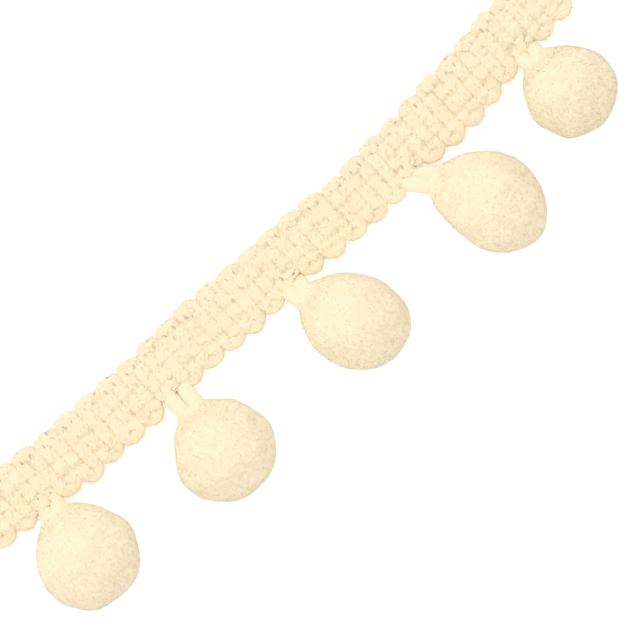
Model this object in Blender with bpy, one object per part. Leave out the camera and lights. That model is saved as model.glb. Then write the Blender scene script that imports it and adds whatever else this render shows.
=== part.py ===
"""Pompom fringe trim: a cut length of crocheted gimp heading with a row of soft pile pompoms.

The trim lies face up on a flat surface, z = 0.  The heading runs along X, the pompoms hang
towards -Y, and the origin is the middle of the heading's underside.  Units are metres.
"""

import math
from collections import namedtuple

import bmesh
import bpy
from mathutils import Vector

MM = 0.001

# Driving dimensions.
POMPOM_PITCH = 25.4 * MM
POMPOM_COUNT = 5
SCALLOPS_PER_PITCH = 6
HEADING_LENGTH = POMPOM_PITCH * POMPOM_COUNT
HEADING_THICKNESS = 2.2 * MM
LOWER_SCALLOP_DEPTH = 1.0 * MM
UPPER_SCALLOP_DEPTH = 0.5 * MM
LEG_DIAMETER = 2.5 * MM
LEG_SPACING = 2.9 * MM
LEG_FLATTENING = 0.65
LOOP_REACH = 3.9 * MM  # from the heading's centreline down to where the loop's arch begins
LOOP_BED = 1.0 * MM  # how thick the heading is under a loop, which is laid into its lower rows
LOOP_BED_HALF_WIDTH = 3.4 * MM
LOOP_PULL = 0.8 * MM  # how far the heading's lower edge is drawn in where a loop crosses it
LEG_STRAIGHT = 0.6 * MM  # the leg's last stretch, square to the pompom's neck
NECK_HALF_DEPTH = 1.0 * MM
BED_GAP = 0.3 * MM  # between the loop and the heading under it
NECK_GAP = 0.4 * MM  # between the loop's ends and the pompom's neck

# How finely the meshes are divided.
STATIONS_PER_SCALLOP = 6
POMPOM_SEGMENTS = 24
POMPOM_RINGS = 14

SCALLOP_PITCH = POMPOM_PITCH / SCALLOPS_PER_PITCH
LOOP_LEVEL = LOOP_BED + BED_GAP + LEG_DIAMETER / 2 * LEG_FLATTENING

# The heading is soft: it doesn't lie quite straight, and it is wider in some places than in
# others.  Where its centreline runs and how wide it is there, in mm.
Bend = namedtuple("Bend", "along drift width")
BENDS = (
    Bend(-63.5, 2.60, 11.0),
    Bend(-51.0, 0.75, 11.2),
    Bend(-44.0, 0.30, 11.2),
    Bend(-36.0, 0.13, 11.2),
    Bend(-30.0, -0.13, 11.1),
    Bend(-25.0, 0.00, 10.8),
    Bend(-18.0, 0.25, 10.5),
    Bend(-13.0, 0.00, 10.9),
    Bend(-7.0, -0.22, 11.2),
    Bend(-1.0, -0.25, 10.8),
    Bend(6.0, -0.15, 10.1),
    Bend(11.0, -0.50, 10.0),
    Bend(16.0, -0.85, 10.0),
    Bend(21.0, -0.72, 10.2),
    Bend(27.0, -0.35, 10.5),
    Bend(33.0, 0.08, 10.6),
    Bend(41.0, 0.65, 10.6),
    Bend(47.0, 1.35, 10.6),
    Bend(63.5, 3.65, 10.4),
)

# The heading's section from its upper edge to its lower one: a row of chain stitches pulls
# the yarn in at each wale, and the yarn swells between them.  Across is in mm from the
# centreline where the heading is SECTION_WIDTH wide, height is a share of the thickness, and
# scallop says how far the row of the mesh follows the scallops of its edge.
SECTION_WIDTH = 10.1
Row = namedtuple("Row", "name across height scallop")
LOWEST_FULL_ROW = 0.0  # mm across: the rows below this one are thinner under a loop
SECTION = (
    Row("upper edge", 5.05, 0.50, 1.0),
    Row("upper edge roll", 4.45, 0.93, 0.6),
    Row("wale 1", 3.50, 0.82, 0.0),
    Row("rib 1", 2.20, 1.00, 0.0),
    Row("wale 2", 0.87, 0.82, 0.0),
    Row("rib 2", -0.45, 1.00, 0.0),
    Row("wale 3", -1.76, 0.82, 0.0),
    Row("rib 3", -2.75, 1.00, 0.0),
    Row("wale 4", -3.83, 0.82, 0.2),
    Row("lower edge roll", -4.50, 0.93, 0.7),
    Row("lower edge", -5.05, 0.50, 1.0),
)

# Each pompom as it has come to rest.  Sizes are in mm: where its loop leaves the heading
# (root), the middle of its neck's end, its centre, its half length, half width and half
# height, and how far its long axis is turned from the -Y direction.
Pompom = namedtuple("Pompom", "root neck_x neck_y centre_x centre_y length width height turn")
POMPOMS = (
    Pompom(-50.9, -50.9, -4.6, -51.4, -13.2, 8.0, 8.3, 7.3, 0.0),
    Pompom(-24.6, -24.7, -7.4, -25.1, -15.5, 7.7, 8.3, 7.1, 0.0),
    Pompom(-0.2, 0.1, -6.3, 3.3, -14.6, 8.4, 7.5, 7.1, 30.0),
    Pompom(25.2, 26.5, -6.6, 31.1, -15.6, 8.9, 7.4, 6.9, 5.0),
    Pompom(50.7, 50.8, -4.0, 51.2, -11.2, 7.0, 7.4, 6.4, 0.0),
)
SINK = 0.94  # height of a pompom's centre, as a share of its half height

# How far each ring of a pompom's mesh, counted from the neck, is drawn to the neck's end.
FLARE = (1.0, 1.0, 1.0, 0.72, 0.28, 0.06)
NECK_RIM = 2  # the ring that is the rim of the neck's flat end

COLOURS = {
    "heading": (0.90, 0.77, 0.53, 1.0),
    "hanger": (0.92, 0.79, 0.56, 1.0),
    "pompom": (0.92, 0.79, 0.55, 1.0),
}
ROUGHNESS = 0.9


def clear_scene():
    for obj in list(bpy.data.objects):
        bpy.data.objects.remove(obj, do_unlink=True)


def material(name):
    made = bpy.data.materials.new(name)
    made.use_nodes = True
    shader = made.node_tree.nodes["Principled BSDF"]
    shader.inputs["Base Color"].default_value = COLOURS[name]
    shader.inputs["Roughness"].default_value = ROUGHNESS
    shader.inputs["Metallic"].default_value = 0.0
    return made


def add_object(name, data, finish, collection):
    obj = bpy.data.objects.new(name, data)
    obj.data.materials.append(finish)
    collection.objects.link(obj)
    return obj


def drift_and_width(x):
    """The centreline's y at x and the heading's width there, smoothly through the rows of BENDS."""
    rows = [Vector((row.along, row.drift, row.width)) * MM for row in BENDS]
    last = len(rows) - 1
    i = next((n for n in range(last - 1) if x < rows[n + 1].x), last - 1)

    def slope(n):
        way = rows[min(n + 1, last)] - rows[max(n - 1, 0)]
        return way / way.x

    span = rows[i + 1].x - rows[i].x
    t = (x - rows[i].x) / span
    rise = rows[i] * (1 - t) ** 2 * (1 + 2 * t) + rows[i + 1] * t**2 * (3 - 2 * t)
    lean = slope(i) * t * (1 - t) ** 2 - slope(i + 1) * t**2 * (1 - t)
    found = rise + lean * span
    return found.y, found.z


def scallop(x, phase):
    """0 at the tip of a scallop and 1 in the notch between two."""
    turns = x / SCALLOP_PITCH + phase
    return 1.0 - abs(math.cos(math.pi * turns))


def heading(finish, collection):
    """The braid: a shaped top face drawn down to a flat underside."""
    stations = round(HEADING_LENGTH / SCALLOP_PITCH) * STATIONS_PER_SCALLOP + 1
    bm = bmesh.new()
    bmesh.ops.create_grid(bm, x_segments=stations - 1, y_segments=len(SECTION) - 1, size=1.0)
    for vert in bm.verts:
        x = vert.co.x * HEADING_LENGTH / 2
        row = SECTION[round((1 - vert.co.y) / 2 * (len(SECTION) - 1))]
        if row.across > 0:
            inset = -UPPER_SCALLOP_DEPTH * scallop(x, phase=0.5)
        else:
            inset = LOWER_SCALLOP_DEPTH * scallop(x, phase=0.0)
        drift, width = drift_and_width(x)
        vert.co.x = x
        vert.co.y = drift + row.across * width / SECTION_WIDTH + inset * row.scallop
        vert.co.z = row.height * HEADING_THICKNESS
        under_loop = any(abs(x - loop.root * MM) < LOOP_BED_HALF_WIDTH for loop in POMPOMS)
        if under_loop and row.across < LOWEST_FULL_ROW:
            vert.co.y += LOOP_PULL * row.scallop
            vert.co.z = min(vert.co.z, LOOP_BED)

    drawn = bmesh.ops.extrude_face_region(bm, geom=bm.faces[:])["geom"]
    for vert in (item for item in drawn if isinstance(item, bmesh.types.BMVert)):
        vert.co.z = 0.0
    underside = [item for item in drawn if isinstance(item, bmesh.types.BMFace)]
    bmesh.ops.dissolve_faces(bm, faces=underside)
    bmesh.ops.recalc_face_normals(bm, faces=bm.faces)

    mesh = bpy.data.meshes.new("heading")
    bm.to_mesh(mesh)
    bm.free()
    mesh.shade_smooth()
    mesh.set_sharp_from_angle(angle=math.radians(50))
    return add_object("heading", mesh, finish, collection)


def neck_of(row):
    """The middle of a pompom's neck end, the level way from the pompom to it, and its right."""
    neck = Vector((row.neck_x * MM, row.neck_y * MM, LOOP_LEVEL))
    towards = neck - Vector((row.centre_x * MM, row.centre_y * MM, LOOP_LEVEL))
    towards.normalize()
    return neck, towards, Vector((towards.y, -towards.x, 0.0))


def hanger(number, row, finish, collection):
    """The two-legged loop of yarn, flattened where it lies on the heading's face."""
    neck, towards, right = neck_of(row)
    top = Vector((row.root * MM, drift_and_width(row.root * MM)[0] - LOOP_REACH, LOOP_LEVEL))
    half = LEG_SPACING / 2

    def leg(side):
        end = neck + towards * NECK_GAP + right * half * side
        bend = top + Vector((half * side, 0.0, 0.0))
        straight = min(LEG_STRAIGHT, (bend - end).length / 3)
        return [end, end + towards * straight, bend]

    arch = [
        top + half * Vector((math.cos(angle), math.sin(angle), 0.0))
        for angle in (math.radians(45), math.radians(90), math.radians(135))
    ]
    route = leg(1) + arch + leg(-1)[::-1]

    curve = bpy.data.curves.new(f"hanger_{number}", "CURVE")
    curve.dimensions = "3D"
    curve.resolution_u = 3
    curve.bevel_depth = LEG_DIAMETER / 2
    curve.bevel_resolution = 2
    curve.use_fill_caps = True
    spline = curve.splines.new("BEZIER")
    spline.bezier_points.add(len(route) - 1)
    for point, place in zip(spline.bezier_points, route):
        point.co = (place.x, place.y, place.z / LEG_FLATTENING)
        point.handle_left_type = point.handle_right_type = "AUTO"
    obj = add_object(f"hanger_{number}", curve, finish, collection)
    obj.scale.z = LEG_FLATTENING
    return obj


def pompom(number, row, finish, collection):
    """A ball of pile, flat where it rests and drawn out to the neck that joins its loop."""
    neck, towards, right = neck_of(row)
    turn = math.radians(row.turn)
    long_axis = Vector((math.sin(turn), -math.cos(turn), 0.0))
    wide_axis = Vector((math.cos(turn), math.sin(turn), 0.0))
    up = Vector((0.0, 0.0, 1.0))
    centre = Vector((row.centre_x * MM, row.centre_y * MM, row.height * MM * SINK))
    neck_half_width = LEG_SPACING / 2 + LEG_DIAMETER / 2
    ring_step = math.pi / POMPOM_RINGS
    spread = 1.0 / math.sin(NECK_RIM * ring_step)

    bm = bmesh.new()
    bmesh.ops.create_uvsphere(bm, u_segments=POMPOM_SEGMENTS, v_segments=POMPOM_RINGS, radius=1.0)
    for vert in bm.verts:
        unit = vert.co.copy()
        ring = round(math.acos(max(-1.0, min(1.0, unit.z))) / ring_step)
        outward = towards * unit.z + up * unit.x + right * unit.y
        ball = centre + long_axis * outward.dot(long_axis) * row.length * MM
        ball += wide_axis * outward.dot(wide_axis) * row.width * MM
        ball += up * outward.z * row.height * MM
        end = neck + right * unit.y * spread * neck_half_width
        end += up * unit.x * spread * NECK_HALF_DEPTH
        vert.co = ball.lerp(end, FLARE[ring] if ring < len(FLARE) else 0.0)
        vert.co.z = max(vert.co.z, 0.0)

    mesh = bpy.data.meshes.new(f"pompom_{number}")
    bm.to_mesh(mesh)
    bm.free()
    mesh.shade_smooth()
    return add_object(f"pompom_{number}", mesh, finish, collection)


def main():
    clear_scene()
    trim = bpy.data.collections.new("pompom_fringe_trim")
    bpy.context.scene.collection.children.link(trim)
    heading(material("heading"), trim)
    loop_yarn, pile = material("hanger"), material("pompom")
    for number, row in enumerate(POMPOMS, start=1):
        hanger(number, row, loop_yarn, trim)
        pompom(number, row, pile, trim)


main()
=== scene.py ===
# %% [markdown]
# # A pompom fringe trim, yarn by yarn
#
# The trim is a narrow crocheted braid with a row of soft pompoms along one edge.  A trimming
# machine lays one thick, soft yarn to and fro across the braid and locks every pass with rows
# of fine chain stitch.  At a regular distance it draws a bundle of yarn out as a loop, and the
# loop's two legs are brushed and clipped into a ball.
#
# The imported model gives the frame: a scalloped slab, five loops and five balls, all plain.
# This lesson keeps their places and sizes and rebuilds each of them as the yarn it stands for.

import math

import bmesh
import bpy
import numpy as np
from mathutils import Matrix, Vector
from mathutils.bvhtree import BVHTree


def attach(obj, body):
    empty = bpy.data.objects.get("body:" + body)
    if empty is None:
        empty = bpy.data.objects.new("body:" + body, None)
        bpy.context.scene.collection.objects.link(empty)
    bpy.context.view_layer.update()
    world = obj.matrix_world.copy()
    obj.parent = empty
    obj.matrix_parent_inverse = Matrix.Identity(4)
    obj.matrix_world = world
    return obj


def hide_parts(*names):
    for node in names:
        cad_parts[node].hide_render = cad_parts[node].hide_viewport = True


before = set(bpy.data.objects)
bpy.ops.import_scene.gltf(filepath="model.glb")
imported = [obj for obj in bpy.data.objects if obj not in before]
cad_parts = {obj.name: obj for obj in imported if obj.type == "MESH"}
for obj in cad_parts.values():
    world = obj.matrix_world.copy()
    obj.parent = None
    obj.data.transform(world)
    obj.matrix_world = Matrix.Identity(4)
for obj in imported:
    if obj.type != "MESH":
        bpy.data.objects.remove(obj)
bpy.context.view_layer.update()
MM = 0.001
POMPOM_NAMES = sorted(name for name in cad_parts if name.startswith("pompom"))
HANGER_NAMES = sorted(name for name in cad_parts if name.startswith("hanger"))
print("balls:", POMPOM_NAMES, "loops:", HANGER_NAMES)

# %% [markdown]
# ## Where things are
#
# Nothing is placed by eye.  The braid's centreline comes from the slab: at each station along
# it, the middle between its two edges, smoothed so that the scallops don't show.  A loop's root
# is where its arch lies, and a ball's neck is where the loop's two ends meet the ball.


# %% Measure the slab, the loops and the balls
def points_of(node):
    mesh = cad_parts[node].data
    found = np.zeros(len(mesh.vertices) * 3, np.float32)
    mesh.vertices.foreach_get("co", found)
    return found.reshape(-1, 3).astype(float)


def triangles_of(node):
    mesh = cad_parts[node].data
    mesh.calc_loop_triangles()
    found = np.zeros(len(mesh.loop_triangles) * 3, np.int32)
    mesh.loop_triangles.foreach_get("vertices", found)
    return found.reshape(-1, 3)


def centroid_of(node):
    """The middle of a closed solid's volume."""
    points, triangles = points_of(node), triangles_of(node)
    a, b, c = (points[triangles[:, i]] for i in range(3))
    volumes = (a * np.cross(b, c)).sum(1)
    return (volumes[:, None] * (a + b + c)).sum(0) / (4 * volumes.sum())


slab = points_of("heading")
stations = np.unique(np.round(slab[:, 0], 5))
edges = np.array([[slab[np.abs(slab[:, 0] - x) < 1e-5, 1].max(), slab[np.abs(slab[:, 0] - x) < 1e-5, 1].min()]
                  for x in stations])
HEADING_START, HEADING_END = stations[0], stations[-1]
SCALLOP_STATIONS = 6  # the slab has this many stations to a scallop


def without_scallops(values):
    """A running mean over two scallops, which keeps the bends and drops the scallops."""
    reach = SCALLOP_STATIONS
    before = 2 * values[0] - values[reach:0:-1]
    after = 2 * values[-1] - values[-2:-reach - 2:-1]
    longer = np.concatenate([before, values, after])
    return np.convolve(longer, np.ones(2 * reach + 1) / (2 * reach + 1), mode="valid")


UPPER_EDGE, LOWER_EDGE = without_scallops(edges[:, 0]), without_scallops(edges[:, 1])
PLAN_UPPER, PLAN_LOWER = 4.87 * MM, -4.69 * MM  # where those two edges are in the braid's plan


def place_in_braid(x, across):
    """The y of a point of the braid's plan: the plan bends and widens with the slab."""
    upper, lower = np.interp(x, stations, UPPER_EDGE), np.interp(x, stations, LOWER_EDGE)
    return lower + (across - PLAN_LOWER) * (upper - lower) / (PLAN_UPPER - PLAN_LOWER)


class Ball:
    """One pompom's centre and neck, and the loop that it hangs on."""

    def __init__(self, pompom, hanger):
        ball, loop = points_of(pompom), points_of(hanger)
        self.pompom, self.hanger = pompom, hanger
        self.tree = BVHTree.FromPolygons(ball.tolist(), triangles_of(pompom).tolist())
        self.centre = centroid_of(pompom)
        arch = loop[loop[:, 1] > loop[:, 1].max() - 0.8 * MM]
        self.root_x = (arch[:, 0].min() + arch[:, 0].max()) / 2
        gaps = np.array([self.tree.find_nearest(Vector(point))[3] for point in loop])
        ends = loop[gaps < 0.55 * MM]
        self.neck = (ends.min(0) + ends.max(0)) / 2
        towards = self.neck - self.centre
        towards[2] = 0.0
        self.towards = towards / np.linalg.norm(towards)
        self.right = np.array([self.towards[1], -self.towards[0], 0.0])


BALLS = [Ball(p, h) for p, h in zip(POMPOM_NAMES, HANGER_NAMES)]
for ball in BALLS:
    print(ball.pompom, "root x", round(ball.root_x / MM, 1), "neck", np.round(ball.neck / MM, 1),
          "centre", np.round(ball.centre / MM, 1))

# %% [markdown]
# ## Helpers: soft noise, meshes from arrays, and twisted yarn
#
# A trim has tens of thousands of fibres, so its meshes are made from NumPy arrays in one go and
# not vertex by vertex.  Every piece of yarn is one closed tube: rings of points along a path.
# The tube's section isn't round: it is lobed like a bundle of strands, and the lobes turn
# slowly along the path, which gives the look of a soft, loosely twisted yarn as real geometry.


# %% A direction of length one, and soft noise that gives the same result each run
def unit(vector):
    return vector / np.linalg.norm(vector)


def ripple(points, wavelength, seed, waves=10):
    """Smooth noise of about unit size: a sum of cosine waves in random directions."""
    rng = np.random.default_rng(seed)
    ways = rng.normal(size=(waves, points.shape[1]))
    ways /= np.linalg.norm(ways, axis=1)[:, None]
    ways *= 2 * math.pi / wavelength * rng.uniform(0.6, 1.5, (waves, 1))
    phases = rng.uniform(0, 2 * math.pi, waves)
    return np.cos(points @ ways.T + phases).sum(1) * math.sqrt(2 / waves)


# %% A mesh from arrays
def mesh_object(name, points, triangles, tone=None):
    """A smooth-shaded object from points and triangles, with an optional tone for each point."""
    points, triangles = np.asarray(points, float), np.asarray(triangles, np.int32)
    mesh = bpy.data.meshes.new(name)
    mesh.vertices.add(len(points))
    mesh.vertices.foreach_set("co", points.astype(np.float32).ravel())
    mesh.loops.add(triangles.size)
    mesh.loops.foreach_set("vertex_index", triangles.ravel())
    mesh.polygons.add(len(triangles))
    mesh.polygons.foreach_set("loop_start", np.arange(0, triangles.size, 3, dtype=np.int32))
    if tone is not None:
        held = mesh.attributes.new("tone", "FLOAT", "POINT")
        held.data.foreach_set("value", np.asarray(tone, np.float32))
    mesh.update(calc_edges=True)
    mesh.shade_smooth()
    made = bpy.data.objects.new(name, mesh)
    bpy.context.scene.collection.objects.link(made)
    print(f"{name}: {len(triangles)} triangles")
    return made


def joined(parts):
    """Several (points, triangles, tone) as one."""
    counts = np.cumsum([0] + [len(points) for points, _, _ in parts])
    points = np.concatenate([points for points, _, _ in parts])
    triangles = np.concatenate([tris + start for (_, tris, _), start in zip(parts, counts)])
    return points, triangles, np.concatenate([tone for _, _, tone in parts])


# %% A smooth path through a few points
def smooth_path(points, steps):
    """A Catmull-Rom curve through the points, with that many steps between each two."""
    points = np.asarray(points, float)
    ends = np.concatenate([[2 * points[0] - points[1]], points, [2 * points[-1] - points[-2]]])
    a, b, c, d = ends[:-3], ends[1:-2], ends[2:-1], ends[3:]
    t = (np.arange(steps) / steps)[None, :, None]
    a, b, c, d = (x[:, None, :] for x in (a, b, c, d))
    curve = 0.5 * (2 * b + (c - a) * t + (2 * a - 5 * b + 4 * c - d) * t**2
                   + (3 * b - a - 3 * c + d) * t**3)
    return np.concatenate([curve.reshape(-1, points.shape[1]), points[-1:]])


def evenly(path, step):
    """The path again, with its points an even step apart."""
    along = np.concatenate([[0], np.cumsum(np.linalg.norm(np.diff(path, axis=0), axis=1))])
    at = np.linspace(0, along[-1], max(3, round(along[-1] / step) + 1))
    return np.stack([np.interp(at, along, path[:, k]) for k in range(path.shape[1])], axis=1)


# %% The frames of a tube: its tangent, its side and its upper side at every ring
def frames_of(path, level=False):
    """level keeps the upper side turned up, for yarn that lies flat; otherwise it is carried along."""
    tangent = np.gradient(path, axis=0)
    tangent /= np.linalg.norm(tangent, axis=1)[:, None]
    if level:
        side = np.cross([0.0, 0.0, 1.0], tangent)
        side /= np.linalg.norm(side, axis=1)[:, None]
        return tangent, side, np.cross(tangent, side)
    side = np.zeros_like(path)
    start = np.cross(tangent[0], [0.31, 0.17, 0.93])
    for i, way in enumerate(tangent):
        start = start - way * (start @ way)
        start = start / np.linalg.norm(start)
        side[i] = start
    return tangent, side, np.cross(tangent, side)


# %% A tube of lobed, slowly twisting section
def yarn_tube(path, half_width, half_depth, sides, lobes=0, groove=0.0, twist=0.0, level=False, power=2.0):
    """(points, triangles, tone) of a closed tube; tone is 1 on the lobes and 0 in the grooves.
    A power above 2 squares the section off, as in yarn that lies pressed against its neighbours."""
    count = len(path)
    tangent, side, top = frames_of(path, level)
    along = np.concatenate([[0], np.cumsum(np.linalg.norm(np.diff(path, axis=0), axis=1))])
    angle = np.arange(sides) * 2 * math.pi / sides
    across, upward = np.cos(angle), np.sin(angle)
    square = (np.abs(across) ** power + np.abs(upward) ** power) ** (-1 / power)
    across, upward = across * square, upward * square
    if lobes:
        lobe = np.abs(np.cos(lobes / 2 * (angle[None, :] - twist * along[:, None])))
    else:
        lobe = np.ones((count, sides))
    swell = 1 - groove * (1 - lobe)
    width = np.broadcast_to(half_width, (count,))[:, None]
    depth = np.broadcast_to(half_depth, (count,))[:, None]
    rings = path[:, None, :]
    rings = rings + side[:, None, :] * (across * swell * width)[:, :, None]
    rings = rings + top[:, None, :] * (upward * swell * depth)[:, :, None]
    points = np.concatenate([rings.reshape(-1, 3), path[:1], path[-1:]])
    # The tone, 1 on the lobes and 0 in the grooves, is used for painted shade in the grooves between strands.
    tone = np.concatenate([lobe.ravel(), [0.5, 0.5]])
    ring, spoke = np.meshgrid(np.arange(count - 1), np.arange(sides), indexing="ij")
    a = (ring * sides + spoke).ravel()
    b = (ring * sides + (spoke + 1) % sides).ravel()
    wall = np.concatenate([np.stack([a, b, b + sides], 1), np.stack([a, b + sides, a + sides], 1)])
    near, far = np.arange(sides), np.arange(sides) + (count - 1) * sides
    first, last = count * sides, count * sides + 1
    start = np.stack([np.full(sides, first), np.roll(near, -1), near], 1)
    end = np.stack([np.full(sides, last), far, np.roll(far, -1)], 1)
    return points, np.concatenate([wall, start, end]), tone


# %% [markdown]
# ## Materials: one fibre effect, three finishes
#
# All the yarn is taken to be the same ivory cotton, matt, with a soft sheen.  What changes from
# place to place is fine: patches where the dye took more or less, painted shade in the hollows
# between strands, darker and warmer as light that bounces from yarn to yarn there makes them, and
# the grain of single fibres.  Those are built once as a node group.  Each finish then places the
# group with its own colours and scales in front of its own shader.


# %% The shared fibre group
def fibre_group():
    group = bpy.data.node_groups.new("soft_fibre", "ShaderNodeTree")
    face = group.interface
    for name, kind, value in (
        ("Light", "NodeSocketColor", (0.9, 0.8, 0.6, 1.0)),
        ("Hollow", "NodeSocketColor", (0.8, 0.6, 0.4, 1.0)),
        ("Tone", "NodeSocketFloat", 1.0),
        ("Patch Scale", "NodeSocketFloat", 300.0),
        ("Fibre Scale", "NodeSocketFloat", 5000.0),
        ("Patchiness", "NodeSocketFloat", 0.3),
    ):
        socket = face.new_socket(name, in_out="INPUT", socket_type=kind)
        socket.default_value = value
    face.new_socket("Color", in_out="OUTPUT", socket_type="NodeSocketColor")
    face.new_socket("Roughness", in_out="OUTPUT", socket_type="NodeSocketFloat")
    face.new_socket("Height", in_out="OUTPUT", socket_type="NodeSocketFloat")
    nodes, link = group.nodes, group.links.new
    given = nodes.new("NodeGroupInput")
    asked = nodes.new("NodeGroupOutput")
    place = nodes.new("ShaderNodeTexCoord")

    patches = nodes.new("ShaderNodeTexNoise")
    patches.inputs["Detail"].default_value = 3.0
    link(place.outputs["Object"], patches.inputs["Vector"])
    link(given.outputs["Patch Scale"], patches.inputs["Scale"])
    fibres = nodes.new("ShaderNodeTexNoise")
    fibres.inputs["Detail"].default_value = 4.0
    fibres.inputs["Roughness"].default_value = 0.65
    link(place.outputs["Object"], fibres.inputs["Vector"])
    link(given.outputs["Fibre Scale"], fibres.inputs["Scale"])

    spread = nodes.new("ShaderNodeMapRange")
    spread.inputs["From Min"].default_value = 0.3
    spread.inputs["From Max"].default_value = 0.7
    spread.inputs["To Min"].default_value = -0.5
    spread.inputs["To Max"].default_value = 0.5
    link(patches.outputs["Fac"], spread.inputs["Value"])
    share = nodes.new("ShaderNodeMath")
    share.operation = "MULTIPLY_ADD"
    share.use_clamp = True
    link(spread.outputs["Result"], share.inputs[0])
    link(given.outputs["Patchiness"], share.inputs[1])
    link(given.outputs["Tone"], share.inputs[2])
    # Painted shade: a low tone gives the darker, warmer Hollow colour in grooves, pinches and tucked-under
    # yarn; the patch noise adds random dye tone on top.
    blend = nodes.new("ShaderNodeMix")
    blend.data_type = "RGBA"
    link(share.outputs["Value"], blend.inputs["Factor"])
    link(given.outputs["Hollow"], blend.inputs["A"])
    link(given.outputs["Light"], blend.inputs["B"])
    link(blend.outputs["Result"], asked.inputs["Color"])

    rough = nodes.new("ShaderNodeMapRange")
    rough.inputs["To Min"].default_value = 0.82
    rough.inputs["To Max"].default_value = 0.98
    link(fibres.outputs["Fac"], rough.inputs["Value"])
    link(rough.outputs["Result"], asked.inputs["Roughness"])
    link(fibres.outputs["Fac"], asked.inputs["Height"])
    return group


FIBRE = fibre_group()
print("fibre group:", len(FIBRE.nodes), "nodes")


# %% A finish: the fibre group in front of a matt shader with a soft sheen
def finish(name, light, hollow, patch_size, fibre_size, patchiness, bump, sheen):
    made = bpy.data.materials.new(name)
    made.use_nodes = True
    nodes, link = made.node_tree.nodes, made.node_tree.links.new
    shader = nodes["Principled BSDF"]
    fibre = nodes.new("ShaderNodeGroup")
    fibre.node_tree = FIBRE
    fibre.inputs["Light"].default_value = (*light, 1.0)
    fibre.inputs["Hollow"].default_value = (*hollow, 1.0)
    fibre.inputs["Patch Scale"].default_value = 1 / patch_size
    fibre.inputs["Fibre Scale"].default_value = 1 / fibre_size
    fibre.inputs["Patchiness"].default_value = patchiness
    tone = nodes.new("ShaderNodeAttribute")
    tone.attribute_name = "tone"
    relief = nodes.new("ShaderNodeBump")
    relief.inputs["Strength"].default_value = bump
    relief.inputs["Distance"].default_value = 0.05 * MM
    link(tone.outputs["Fac"], fibre.inputs["Tone"])
    link(fibre.outputs["Color"], shader.inputs["Base Color"])
    link(fibre.outputs["Roughness"], shader.inputs["Roughness"])
    link(fibre.outputs["Height"], relief.inputs["Height"])
    link(relief.outputs["Normal"], shader.inputs["Normal"])
    shader.inputs["Specular IOR Level"].default_value = 0.25
    shader.inputs["Sheen Weight"].default_value = sheen
    shader.inputs["Sheen Roughness"].default_value = 0.5
    return made


# The second colour of each finish is the painted shade colour for hollows, pinches and tucked-under yarn.
IVORY, IVORY_HOLLOW = (0.94, 0.828, 0.60), (0.90, 0.74, 0.48)
THREAD_IVORY, THREAD_HOLLOW = (0.94, 0.825, 0.60), (0.90, 0.74, 0.48)
PILE_IVORY, PILE_HOLLOW = (0.955, 0.838, 0.615), (0.92, 0.77, 0.515)
YARN = finish("gimp_yarn", IVORY, IVORY_HOLLOW, 2.5 * MM, 0.12 * MM, 0.35, 0.5, 0.15)
THREAD = finish("chain_thread", THREAD_IVORY, THREAD_HOLLOW, 1.5 * MM, 0.10 * MM, 0.3, 0.5, 0.1)
PILE = finish("cut_pile", PILE_IVORY, PILE_HOLLOW, 3.0 * MM, 0.20 * MM, 0.2, 0.25, 0.1)

# %% [markdown]
# ## The heading's yarn
#
# One thick soft yarn crosses the braid sixty times.  It turns back at each edge, and the turns
# are the scallops: full and crisp on the pompom side, flatter on the plain side.  Four rows of
# chain stitch squeeze it, and between them it swells until it touches its neighbour.  So the
# yarn is one long path with a width that goes up and down, and the stitch is real shape.
# Every pass gets a little error of its own, as the real ones have.

# %% The plan of the braid, in millimetres across from the centreline
PICKS_PER_PITCH = 12
POMPOM_PITCH = 25.4 * MM
PICK = POMPOM_PITCH / PICKS_PER_PITCH
PICKS = round((HEADING_END - HEADING_START) / PICK)
WALES = np.array([3.40, 0.75, -1.75, -3.60]) * MM  # the rows of chain stitch
LOWER_TURN, UPPER_TURN = -3.20 * MM, 3.88 * MM  # where a pass ends and its turn begins
LOWER_TURN_DEPTH, UPPER_TURN_DEPTH = 0.74 * MM, 0.02 * MM
YARN_HALF_WIDTH, YARN_HALF_DEPTH = 1.29 * MM, 0.66 * MM
YARN_LEVEL = YARN_HALF_DEPTH + 0.18 * MM
SQUEEZE, SQUEEZE_REACH = 0.24, 0.36 * MM
YARN_STEP = 0.30 * MM
print(PICKS, "passes of", round(PICK / MM, 3), "mm")


# %% The path of the yarn, and how thick it is along it
def root_nearness(x):
    """1 over the root of a loop and 0 away from it."""
    gap = np.min([np.abs(x - ball.root_x) for ball in BALLS], axis=0)
    return np.clip((2.9 * MM - gap) / (0.8 * MM), 0.0, 1.0)


def wander(x, number):
    """How far a row of chain stitch strays from its place."""
    return 0.10 * MM * ripple(x[:, None], 16 * MM, seed=60 + number, waves=5)


def gimp_path():
    """The to and fro path in the braid's own plan: x along it and y across from its centreline."""
    rng = np.random.default_rng(11)
    turn = np.linspace(0, math.pi, 7)[1:-1]
    plan = []
    for i in range(PICKS):
        x = HEADING_START + (i + 0.5) * PICK
        downward = i % 2 == 1
        shift, lean = rng.normal(0, 0.07 * MM), rng.normal(0, 0.10 * MM)
        lower, upper = LOWER_TURN + rng.normal(0, 0.08 * MM), UPPER_TURN + rng.normal(0, 0.12 * MM)
        depth = (LOWER_TURN_DEPTH if downward else UPPER_TURN_DEPTH) * rng.uniform(0.75, 1.3)
        if downward:
            rooted = float(root_nearness(np.array(x + PICK / 2)))
            depth *= 1 - 0.9 * rooted
            lower += 0.55 * MM * rooted
        levels = np.linspace(upper, lower, 6) if downward else np.linspace(lower, upper, 6)
        plan += [(x + shift * math.sin(math.pi * n / 5) + lean * (n / 5 - 0.5) * math.sin(math.pi * n / 5), y)
                 for n, y in enumerate(levels)]
        edge, way = (lower, -1) if downward else (upper, 1)
        if i < PICKS - 1:
            plan += [(x + PICK / 2 * (1 - math.cos(a)), edge + way * depth * math.sin(a)) for a in turn]
    return evenly(smooth_path(np.array(plan), 4), YARN_STEP)


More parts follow.
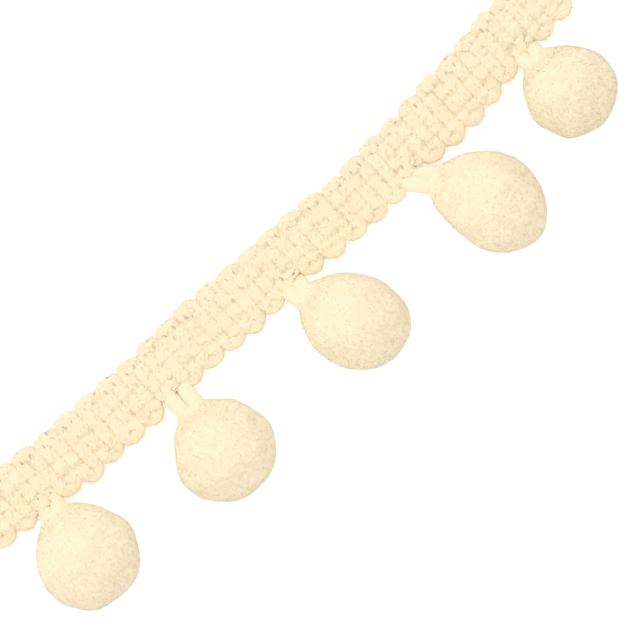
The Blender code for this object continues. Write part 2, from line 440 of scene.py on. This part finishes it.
plan = gimp_path()
rows = np.stack([level + wander(plan[:, 0], number) for number, level in enumerate(WALES)], 1)
squeeze = np.exp(-((plan[:, 1:2] - rows) / SQUEEZE_REACH) ** 2).max(1)
squeeze *= 1 + 0.25 * ripple(plan, 7.0 * MM, seed=23)
near_root = root_nearness(plan[:, 0]) * np.clip((-2.0 * MM - plan[:, 1]) / (1.0 * MM), 0, 1)
puff = 1 + 0.035 * ripple(plan, 4.0 * MM, seed=21)
half_width = YARN_HALF_WIDTH * puff * (1 - 0.25 * SQUEEZE * squeeze)
half_depth = YARN_HALF_DEPTH * puff * (1 - SQUEEZE * squeeze) * (1 - 0.25 * near_root)
half_width *= 1 - 0.16 * np.clip((-3.3 * MM - plan[:, 1]) / (0.6 * MM), 0, 1)  # the lower turns are tighter
level = YARN_LEVEL + 0.30 * MM * near_root
path = np.column_stack([plan[:, 0], place_in_braid(plan[:, 0], plan[:, 1]), level])
print("yarn in the heading:", round(np.linalg.norm(np.diff(path, axis=0), axis=1).sum(), 3), "m")

# %% Build it, flat where it rests
FLOOR_CLEARANCE = 0.02 * MM


def settled(points):
    """Soft yarn gives way to the table: nothing goes below it, and what would is laid flat."""
    points[:, 2] = np.maximum(points[:, 2], FLOOR_CLEARANCE)
    return points


YARN_SIDES = 40
points, triangles, tone = yarn_tube(path, half_width, half_depth, YARN_SIDES, lobes=11, groove=0.06,
                                    twist=2 * math.pi / (13 * MM), level=True, power=3.4)
# Painted shade: the grooves between strands and the rows where the chain stitch pinches the yarn are painted
# darker.
pinch_shade = np.repeat(squeeze, YARN_SIDES)
tone[: len(pinch_shade)] = (0.6 + 0.4 * tone[: len(pinch_shade)]) * (1 - 0.2 * pinch_shade)
tone[len(pinch_shade):] = 0.8
points += 0.02 * MM * ripple(points, 0.8 * MM, seed=22)[:, None]
heading_yarn = mesh_object("heading_yarn", settled(points), triangles, tone)
heading_yarn.data.materials.append(YARN)
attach(heading_yarn, "root")
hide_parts("heading")

# %% [markdown]
# ## Four rows of chain stitch
#
# Each row is one fine thread.  At every pass of the thick yarn it comes up through the fabric,
# lays a small loop over the yarn, goes down where the next loop will start and runs on along
# the back.  On the face that reads as a line of tiny slanting strokes in a groove.  The route
# of a single stitch is listed once, in shares of the stitch, and repeated sixty times.

# %% One stitch, then a row of them
STITCH = np.array([  # along (share of a pass), across (share of the loop's width), height in mm
    (-0.50, 0.00, 0.75),
    (-0.32, -0.24, 1.10),
    (0.00, -0.50, 1.25),
    (0.30, -0.40, 1.20),
    (0.56, 0.00, 0.95),
    (0.30, 0.40, 1.20),
    (0.00, 0.50, 1.25),
    (-0.32, 0.24, 1.10),
    (-0.44, 0.00, 0.70),
    (-0.28, 0.00, 0.30),
    (0.00, 0.00, 0.16),
    (0.28, 0.00, 0.30),
])
LOOP_WIDTH = 0.32 * MM
THREAD_RADIUS = 0.12 * MM
THREAD_SIDES = 6


def chain_row(number, across):
    rng = np.random.default_rng(30 + number)
    route = []
    for i in range(PICKS):
        x = HEADING_START + (i + 0.5) * PICK
        jitter = rng.normal(0, 0.05 * MM, 3)
        width = LOOP_WIDTH * rng.uniform(0.8, 1.2)
        for along, side, height in STITCH:
            route.append((x + along * PICK + jitter[0], across + side * width + jitter[1],
                          height * MM + jitter[2] * (height > 1.1)))
    route = np.array(route)
    route[:, 0] = np.clip(route[:, 0], HEADING_START, HEADING_END)
    route[:, 1] += wander(route[:, 0], number - 1)
    lifted = root_nearness(route[:, 0]) * (across < -3 * MM) * (route[:, 2] > 0.9 * MM)
    route[:, 2] += 0.25 * MM * lifted
    route[:, 1] = place_in_braid(route[:, 0], route[:, 1])
    path = smooth_path(route, 2)
    part = yarn_tube(path, THREAD_RADIUS, THREAD_RADIUS, THREAD_SIDES)
    # Painted shade: the thread is painted darker the lower it runs, where it passes under the thick yarn.
    tone = np.clip((part[0][:, 2] - 0.3 * MM) / (0.8 * MM), 0.3, 1.0)
    made = mesh_object(f"chain_stitch_{number}", settled(part[0]), part[1], tone)
    made.data.materials.append(THREAD)
    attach(made, "root")
    return made


chains = [chain_row(number, across) for number, across in enumerate(WALES, start=1)]

# %% [markdown]
# ## Loose fibres
#
# Soft yarn is hairy.  Thousands of fine fibres lie over the passes, bridge the furrows between
# them and stand a little way out at the edges, and they are why the braid looks like one soft
# cloth and not like a row of cords.  Each is a slim, straight, three-sided hair that starts on
# the yarn's own surface and tapers to a point.


# %% Slim closed spikes, for fibres and for pile
def spikes(roots, ways, lengths, half_widths, tones, rng):
    """(points, triangles, tone): each spike has a three-sided foot at its root and ends in a point."""
    count = len(roots)
    side = np.cross(ways, rng.normal(size=(count, 3)))
    side /= np.linalg.norm(side, axis=1)[:, None]
    other = np.cross(ways, side)
    corners = [roots + half_widths[:, None] * (side * math.cos(a) + other * math.sin(a))
               for a in (0, 2 * math.pi / 3, 4 * math.pi / 3)]
    points = np.stack([*corners, roots + ways * lengths[:, None]], 1).reshape(-1, 3)
    start = 4 * np.arange(count)[:, None]
    faces = np.concatenate([start + np.array(f) for f in ((0, 1, 3), (1, 2, 3), (2, 0, 3), (0, 2, 1))])
    return points, faces, np.repeat(tones, 4)


# %% Random places on a mesh
def surface_samples(points, triangles, count, rng, wanted):
    """Places on a mesh and the ways out there; wanted gives each triangle's weight."""
    a, b, c = (points[triangles[:, i]] for i in range(3))
    face = np.cross(b - a, c - a)
    area = np.linalg.norm(face, axis=1)
    out = face / np.maximum(area, 1e-15)[:, None]
    share = area * wanted((a + b + c) / 3, out)
    chosen = rng.choice(len(area), count, p=share / share.sum())
    weight = rng.dirichlet((1.0, 1.0, 1.0), count)
    place = (np.stack([a[chosen], b[chosen], c[chosen]], 1) * weight[:, :, None]).sum(1)
    return place, out[chosen]


# %% Lay the fibres: most start on a pass's shoulder and reach over to the next pass
LOOSE_FIBRES = 20000
rng = np.random.default_rng(71)
place, out = surface_samples(
    points, triangles, LOOSE_FIBRES, rng,
    lambda middle, out: (middle[:, 2] > 0.8 * MM) * np.where(out[:, 2] > 0.9, 0.6, 1.0) * (out[:, 2] > 0.05),
)
level_way = out * [1.0, 1.0, 0.0] + rng.normal(0, 0.35, (LOOSE_FIBRES, 3)) * [1.0, 1.0, 0.12]
level_way /= np.linalg.norm(level_way, axis=1)[:, None]
part = spikes(place - level_way * 0.1 * MM, level_way, rng.uniform(0.4, 1.3, LOOSE_FIBRES) * MM,
              rng.uniform(0.018, 0.032, LOOSE_FIBRES) * MM, np.full(LOOSE_FIBRES, 0.9), rng)
heading_fibres = mesh_object("heading_fibres", settled(part[0]), part[1], part[2])
heading_fibres.data.materials.append(YARN)
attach(heading_fibres, "root")

# %% [markdown]
# ## The hanging loops
#
# A loop is a bundle of the same soft yarn.  It lies in the lower rows of the braid, is pinched
# there by the last row of chain stitch, and its two legs run side by side into the ball.  One
# fluted tube follows the whole route, from inside the ball, up one leg, round the arch and
# down the other.

# %% The route of a loop
LEG_HALF_WIDTH, LEG_HALF_DEPTH = 1.30 * MM, 0.85 * MM
LEG_GAP = [2.30, 2.62, 2.20, 2.20, 2.25]  # mm between the middles of each loop's legs


def loop_route(ball, spacing):
    half = spacing * MM / 2
    wale = place_in_braid(ball.root_x, WALES[3])

    def leg(side):
        neck = ball.neck + ball.right * half * 0.92 * side
        return [
            neck - ball.towards * 3.0 * MM + np.array([0, 0, 1.4 * MM]),
            neck - ball.towards * 1.2 * MM + np.array([0, 0, 0.4 * MM]),
            neck,
            np.array([ball.root_x + side * half, wale - 0.9 * MM, 1.15 * MM]),
            np.array([ball.root_x + side * half * 0.9, wale, 0.75 * MM]),
            np.array([ball.root_x + side * half * 0.85, wale + 0.9 * MM, 0.60 * MM]),
        ]

    arch = [np.array([ball.root_x, wale + 1.7 * MM, 0.60 * MM])]
    return np.array(leg(-1) + arch + leg(1)[::-1])


# %% A whole loop
LEG_SIDES = 40


def hanging_loop(ball, spacing, seed):
    path = evenly(smooth_path(loop_route(ball, spacing), 8), 0.22 * MM)
    wale = place_in_braid(ball.root_x, WALES[3])
    tucked = np.clip((path[:, 1] - wale + 0.5 * MM) / (0.9 * MM), 0, 1)
    soft = 1 + 0.03 * ripple(path, 3.0 * MM, seed)
    points, triangles, tone = yarn_tube(path, LEG_HALF_WIDTH * soft * (1 - 0.12 * tucked),
                                        LEG_HALF_DEPTH * soft * (1 - 0.42 * tucked), LEG_SIDES, lobes=11,
                                        groove=0.08, twist=2 * math.pi / (40 * MM), level=True, power=2.2)
    # Painted shade: the grooves between strands, and the stretch tucked under the braid, are painted darker.
    tone = 0.7 + 0.3 * tone
    tone[: len(path) * LEG_SIDES] *= 1 - 0.3 * np.repeat(tucked, LEG_SIDES)
    made = mesh_object(f"hanging_loop_{ball.hanger[-1]}", settled(points), triangles, tone)
    made.data.materials.append(YARN)
    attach(made, "root")
    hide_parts(ball.hanger)
    return made


loops = [hanging_loop(ball, gap, 40 + i) for i, (ball, gap) in enumerate(zip(BALLS, LEG_GAP))]

# %% [markdown]
# ## The pompoms
#
# A pompom is nothing but cut yarn ends.  A core gives the ball its body, a little inside the
# outer shape, and thousands of short tapering fibres stand on it, so short that the ball reads
# as velvet.  They point straight out over most of the ball and lie along the
# surface near the neck, where the pile is drawn up around the legs.  Where the ball rests, it
# is pressed flat by the table.

# %% Read a ball's outer shape along rays from its centre
PILE_DEPTH = 0.15 * MM  # how far the mass of the pile lies under the tips
PILE_FIBRES = 18000


def surface_along(ball, ways):
    """Where rays from the ball's centre leave its solid."""
    centre = Vector(ball.centre)
    return np.array([ball.tree.ray_cast(centre, Vector(way))[0] for way in ways])


def sphere(level):
    """Unit directions evenly over a sphere, and the triangles between them."""
    mesh = bpy.data.meshes.new("directions")
    shape = bmesh.new()
    bmesh.ops.create_icosphere(shape, subdivisions=level, radius=1.0)
    shape.to_mesh(mesh)
    shape.free()
    ways = np.array([v.co for v in mesh.vertices])
    triangles = np.array([tuple(p.vertices) for p in mesh.polygons])
    bpy.data.meshes.remove(mesh)
    return ways / np.linalg.norm(ways, axis=1)[:, None], triangles


WAYS, WAY_TRIANGLES = sphere(6)
print("each core has", len(WAYS), "points")


# %% Smooth a core and find the way out of it at each point
def relaxed(points, triangles, rounds):
    """Each point moves half way to the mean of its neighbours, a few times over."""
    pairs = np.concatenate([triangles[:, [0, 1]], triangles[:, [1, 2]], triangles[:, [2, 0]]])
    count = np.bincount(pairs[:, 0], minlength=len(points))
    for _ in range(rounds):
        near = [np.bincount(pairs[:, 0], points[pairs[:, 1], k], len(points)) / count for k in range(3)]
        points = 0.5 * points + 0.5 * np.stack(near, 1)
    return points


def normals_at(points, triangles):
    a, b, c = (points[triangles[:, i]] for i in range(3))
    face = np.cross(b - a, c - a)
    total = sum(
        np.stack([np.bincount(triangles[:, i], face[:, k], len(points)) for k in range(3)], 1)
        for i in range(3)
    )
    return total / np.linalg.norm(total, axis=1)[:, None]


# %% The pile drawn up around the two legs
GATHER_HEIGHT, GATHER_REACH = 1.3 * MM, 1.1 * MM


def gathered(ball, points, spacing, from_neck):
    """How far the pile climbs the legs: most beside them, and nothing a few millimetres away."""
    neck_way = unit(ball.neck - ball.centre)
    offset = points - ball.neck
    offset -= neck_way * (offset @ neck_way)[:, None]
    sideways = offset @ ball.right
    rest = np.linalg.norm(offset - ball.right * sideways[:, None], axis=1)
    outside = np.maximum(np.abs(sideways) - spacing * MM / 2, 0)
    beyond = np.maximum(np.hypot(outside, rest) - LEG_HALF_DEPTH, 0)
    return GATHER_HEIGHT * np.exp(-beyond / GATHER_REACH) * (from_neck < 1.2)


# %% One pompom
def pompom(ball, spacing, seed):
    rng = np.random.default_rng(seed)
    neck_way = unit(ball.neck - ball.centre)
    from_neck = np.arccos(np.clip(WAYS @ neck_way, -1, 1))
    open_pile = np.clip((from_neck - 0.35) / 0.6, 0.0, 1.0)
    outer = relaxed(surface_along(ball, WAYS), WAY_TRIANGLES, 60)
    outer += neck_way * gathered(ball, outer, spacing, from_neck)[:, None]
    lumps = 0.10 * MM * ripple(outer, 6.5 * MM, seed) + 0.02 * MM * ripple(outer, 2.4 * MM, seed + 1)
    outer = outer + normals_at(outer, WAY_TRIANGLES) * (lumps * open_pile)[:, None]
    core = outer - normals_at(outer, WAY_TRIANGLES) * (PILE_DEPTH * (0.3 + 0.7 * open_pile))[:, None]
    core += normals_at(core, WAY_TRIANGLES) * (0.015 * MM * ripple(core, 0.9 * MM, seed + 2))[:, None]
    core[:, 2] = np.maximum(core[:, 2], 0.2 * MM)

    def sparse_at_neck(middle, out):
        return np.clip((np.linalg.norm(middle - ball.neck, axis=1) - 1.5 * MM) / (4.0 * MM), 0.08, 1)

    root, out = surface_samples(core, WAY_TRIANGLES, PILE_FIBRES, rng, sparse_at_neck)
    open_here = np.clip((np.linalg.norm(root - ball.neck, axis=1) - 2.5 * MM) / (4.0 * MM), 0, 1)
    away = root - ball.neck
    away -= out * (away * out).sum(1)[:, None]
    away /= np.linalg.norm(away, axis=1)[:, None] + 1e-9
    way = out + away * (0.3 + 1.7 * (1 - open_here))[:, None] + rng.normal(0, 0.35, (PILE_FIBRES, 3))
    way /= np.linalg.norm(way, axis=1)[:, None]
    reach = PILE_DEPTH / np.maximum((way * out).sum(1), 0.4) * rng.uniform(0.8, 1.5, PILE_FIBRES)
    tones = np.clip(rng.normal(0.92, 0.05, PILE_FIBRES), 0, 1)
    widths = rng.uniform(0.03, 0.05, PILE_FIBRES) * MM
    pile = spikes(root - way * 0.08 * MM, way, reach + 0.08 * MM, widths, tones, rng)
    # The core under the pile is painted a little darker than the fibre tips, as painted shade at the roots,
    # with a random mottle over it.
    root_shade_and_mottle = np.clip(0.85 + 0.06 * ripple(core, 3.5 * MM, seed + 6), 0, 1)
    points, triangles, tone = joined([(core, WAY_TRIANGLES, root_shade_and_mottle), pile])
    made = mesh_object(f"{ball.pompom}_pile", settled(points), triangles, tone)
    made.data.materials.append(PILE)
    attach(made, "root")
    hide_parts(ball.pompom)
    return made


pompoms = [pompom(ball, gap, 100 * i) for i, (ball, gap) in enumerate(zip(BALLS, LEG_GAP), start=1)]

# %% [markdown]
# ## Stage, light and camera
#
# The trim is seen from straight above, turned so that the braid climbs to the upper right.  The
# light is that of a white studio table: soft from everywhere, with one large lamp above the
# braid's side, so that the pompoms shade gently towards their far side.

# %% A plain white table
table_mesh = bpy.data.meshes.new("table")
SPAN = 1.5  # half the table's side, in metres
TABLE_GLOW = 0.6  # the table gives off a little light, as a lit backdrop does
corners = [(-SPAN, -SPAN, 0), (SPAN, -SPAN, 0), (SPAN, SPAN, 0), (-SPAN, SPAN, 0)]
table_mesh.from_pydata(corners, [], [(0, 1, 2, 3)])
table = bpy.data.objects.new("table", table_mesh)
bpy.context.scene.collection.objects.link(table)
white = bpy.data.materials.new("white_table")
white.use_nodes = True
white.node_tree.nodes["Principled BSDF"].inputs["Base Color"].default_value = (0.5, 0.5, 0.5, 1.0)
white.node_tree.nodes["Principled BSDF"].inputs["Emission Color"].default_value = (1.0, 1.0, 1.0, 1.0)
white.node_tree.nodes["Principled BSDF"].inputs["Emission Strength"].default_value = TABLE_GLOW
white.node_tree.nodes["Principled BSDF"].inputs["Roughness"].default_value = 0.9
white.node_tree.nodes["Principled BSDF"].inputs["Specular IOR Level"].default_value = 0.1
table_mesh.materials.append(white)

# %% Soft studio light
STUDIO_LIGHT = 0.94  # the even white light from all round
LAMP_PLACE, LAMP_AIM = (-0.10, 0.35, 0.55), (0, -0.01, 0)
LAMP_SIZE, LAMP_POWER = 0.45, 1.12  # metres, watts
world = bpy.data.worlds.new("studio")
world.use_nodes = True
world.node_tree.nodes["Background"].inputs["Color"].default_value = (1.0, 1.0, 1.0, 1.0)
world.node_tree.nodes["Background"].inputs["Strength"].default_value = STUDIO_LIGHT
bpy.context.scene.world = world


def area_lamp(name, place, aim, size, power):
    lamp = bpy.data.lights.new(name, "AREA")
    lamp.size, lamp.energy = size, power
    held = bpy.data.objects.new(name, lamp)
    held.location = place
    held.rotation_euler = (Vector(aim) - Vector(place)).to_track_quat("-Z", "Y").to_euler()
    bpy.context.scene.collection.objects.link(held)
    return held


area_lamp("key", LAMP_PLACE, LAMP_AIM, LAMP_SIZE, LAMP_POWER)

# %% The camera looks straight down
VIEW_WIDTH = 98.05 * MM
VIEW_CENTRE = (-0.77 * MM, -10.57 * MM)
VIEW_HEIGHT = 5.0 * MM  # the level at which the view is that wide
TURN = math.radians(-42.9)
camera_data = bpy.data.cameras.new("camera")
camera_data.lens, camera_data.sensor_width = 180.0, 36.0
camera = bpy.data.objects.new("camera", camera_data)
distance = VIEW_WIDTH * camera_data.lens / camera_data.sensor_width
camera.location = (*VIEW_CENTRE, VIEW_HEIGHT + distance)
camera.rotation_euler = (0.0, 0.0, TURN)
bpy.context.scene.collection.objects.link(camera)
bpy.context.scene.camera = camera
bpy.context.scene.view_settings.view_transform = "Standard"
print("camera", round(distance, 3), "m above the trim")
